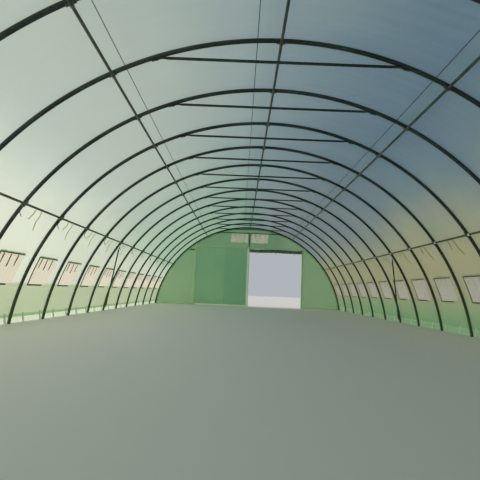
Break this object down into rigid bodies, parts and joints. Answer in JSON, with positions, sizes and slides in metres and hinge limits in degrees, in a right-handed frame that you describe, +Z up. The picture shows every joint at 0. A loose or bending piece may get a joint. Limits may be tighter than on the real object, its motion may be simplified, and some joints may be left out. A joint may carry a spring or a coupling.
{
  "type": "polytunnel greenhouse",
  "caption": "Long round-arched film greenhouse: steel hoops and purlins under green woven film, net windows along both sides and a double doorway in each end wall.",
  "frame": {"origin": "on the ground, in the middle of the tunnel's length and width", "axes": "+Y along the tunnel, +X across it, +Z up"},
  "size_m": [6.1436, 16.1606, 2.6546],
  "materials": {
    "galvanised_tube": "dull galvanised",
    "zinc_strap": "zinc plated",
    "post_tube": "bright galvanised",
    "line_wire": "coated line",
    "cover_film": "translucent woven film",
    "skirt_film": "pale translucent film",
    "door_film": "doubled woven film",
    "insect_net": "fine net",
    "rolled_flap": "rolled film",
    "pale_tie": "pale strap"
  },
  "bodies": {
    "root": {"collar_ties": "galvanised_tube", "cover_roof_left": "cover_film", "cover_roof_right": "cover_film", "cover_side_left": "cover_film", "cover_side_right": "cover_film", "cover_skirt_left": "skirt_film", "cover_skirt_right": "skirt_film", "far_door_closed": "door_film", "far_door_frame": "post_tube", "far_door_rolled": "door_film", "far_vent_nets": "insect_net", "far_wall_left": "cover_film", "far_wall_right": "cover_film", "far_wall_top": "cover_film", "ground_ties": "pale_tie", "hoop_01": "galvanised_tube", "hoop_02": "galvanised_tube", "hoop_03": "galvanised_tube", "hoop_04": "galvanised_tube", "hoop_05": "galvanised_tube", "hoop_06": "galvanised_tube", "hoop_07": "galvanised_tube", "hoop_08": "galvanised_tube", "hoop_09": "galvanised_tube", "hoop_10": "galvanised_tube", "hoop_11": "galvanised_tube", "hoop_12": "galvanised_tube", "hoop_13": "galvanised_tube", "hoop_14": "galvanised_tube", "hoop_15": "galvanised_tube", "hoop_16": "galvanised_tube", "hoop_17": "galvanised_tube", "line_wires": "line_wire", "near_door_closed": "door_film", "near_door_frame": "post_tube", "near_door_rolled": "door_film", "near_vent_nets": "insect_net", "near_wall_left": "cover_film", "near_wall_right": "cover_film", "near_wall_top": "cover_film", "purlin_clamps": "zinc_strap", "ridge_purlin": "galvanised_tube", "shoulder_purlin_left": "galvanised_tube", "shoulder_purlin_right": "galvanised_tube", "side_rail_left": "galvanised_tube", "side_rail_right": "galvanised_tube", "wind_braces": "galvanised_tube", "window_nets_left": "insect_net", "window_nets_right": "insect_net", "window_rolls_left": "rolled_flap", "window_rolls_right": "rolled_flap"}
  },
  "joints": []
}
